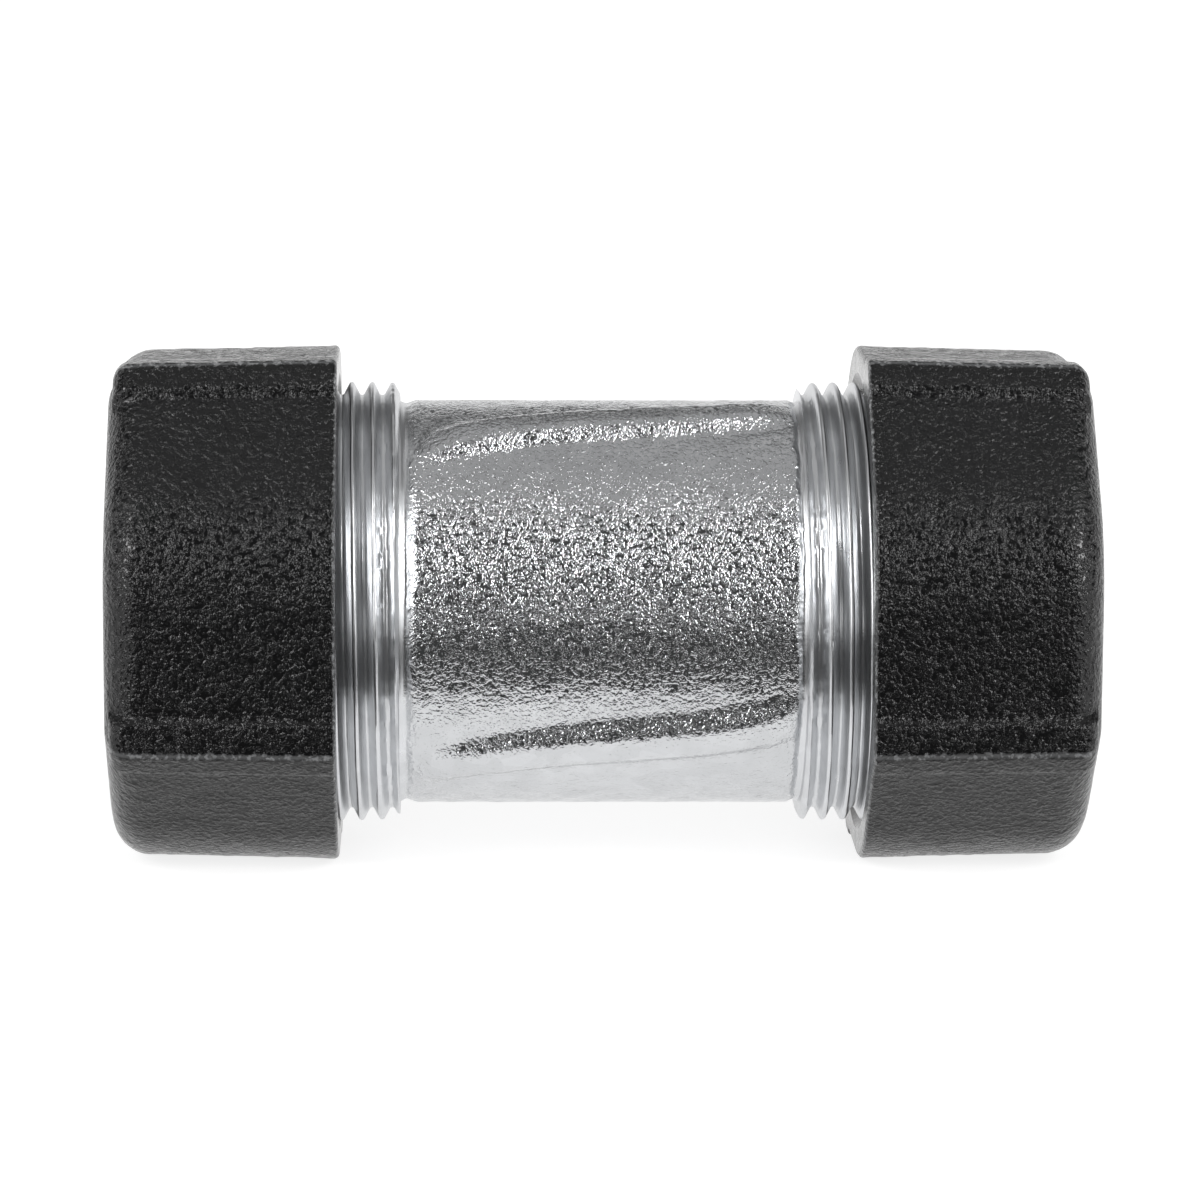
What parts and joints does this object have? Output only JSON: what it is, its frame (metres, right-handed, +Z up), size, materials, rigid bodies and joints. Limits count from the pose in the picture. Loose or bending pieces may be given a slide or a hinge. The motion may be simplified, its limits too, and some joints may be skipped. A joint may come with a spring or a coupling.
{
  "type": "pipe clamp coupling",
  "caption": "Straight compression coupling for plain steel pipe ends: threaded cast body with a cast clamp nut at each end, over a split grip ring, a pressure washer and a tapered seal.",
  "frame": {"origin": "centre of the coupling, on the pipe axis, midway between the two nuts", "axes": "+X along the pipe axis towards the right nut, +Z up, front towards -Y"},
  "size_m": [0.11, 0.058, 0.058],
  "materials": {
    "galvanised_iron": "hot-dip galvanised rough casting, with cut threads",
    "black_paint": "glossy black paint on a rough casting",
    "plated_steel": "zinc plated",
    "seal_rubber": "matt moulded rubber"
  },
  "bodies": {
    "root": {"coupling_body": "galvanised_iron", "left_pressure_washer": "plated_steel", "left_seal": "seal_rubber", "right_pressure_washer": "plated_steel", "right_seal": "seal_rubber"},
    "left_clamp": {"left_clamp_ring": "plated_steel"},
    "left_nut": {"left_nut": "black_paint"},
    "right_clamp": {"right_clamp_ring": "plated_steel"},
    "right_nut": {"right_nut": "black_paint"}
  },
  "joints": [
    {"name": "left_nut_travel", "type": "slide", "parent": "root", "child": "left_clamp", "axis": [-1, 0, 0], "range_m": [0, 0.0125]},
    {"name": "left_nut_turn", "type": "hinge", "parent": "left_clamp", "child": "left_nut", "pos_m": [-0.042, 0, 0], "axis": [-1, 0, 0], "range_deg": [0, 1944]},
    {"name": "right_nut_travel", "type": "slide", "parent": "root", "child": "right_clamp", "axis": [1, 0, 0], "range_m": [0, 0.0125]},
    {"name": "right_nut_turn", "type": "hinge", "parent": "right_clamp", "child": "right_nut", "pos_m": [0.042, 0, 0], "axis": [1, 0, 0], "range_deg": [0, 1944]}
  ],
  "couplings": [
    {"joint": "left_nut_travel", "follows": "left_nut_turn", "m_per_rad": 0.00036749},
    {"joint": "right_nut_travel", "follows": "right_nut_turn", "m_per_rad": 0.00036749}
  ]
}
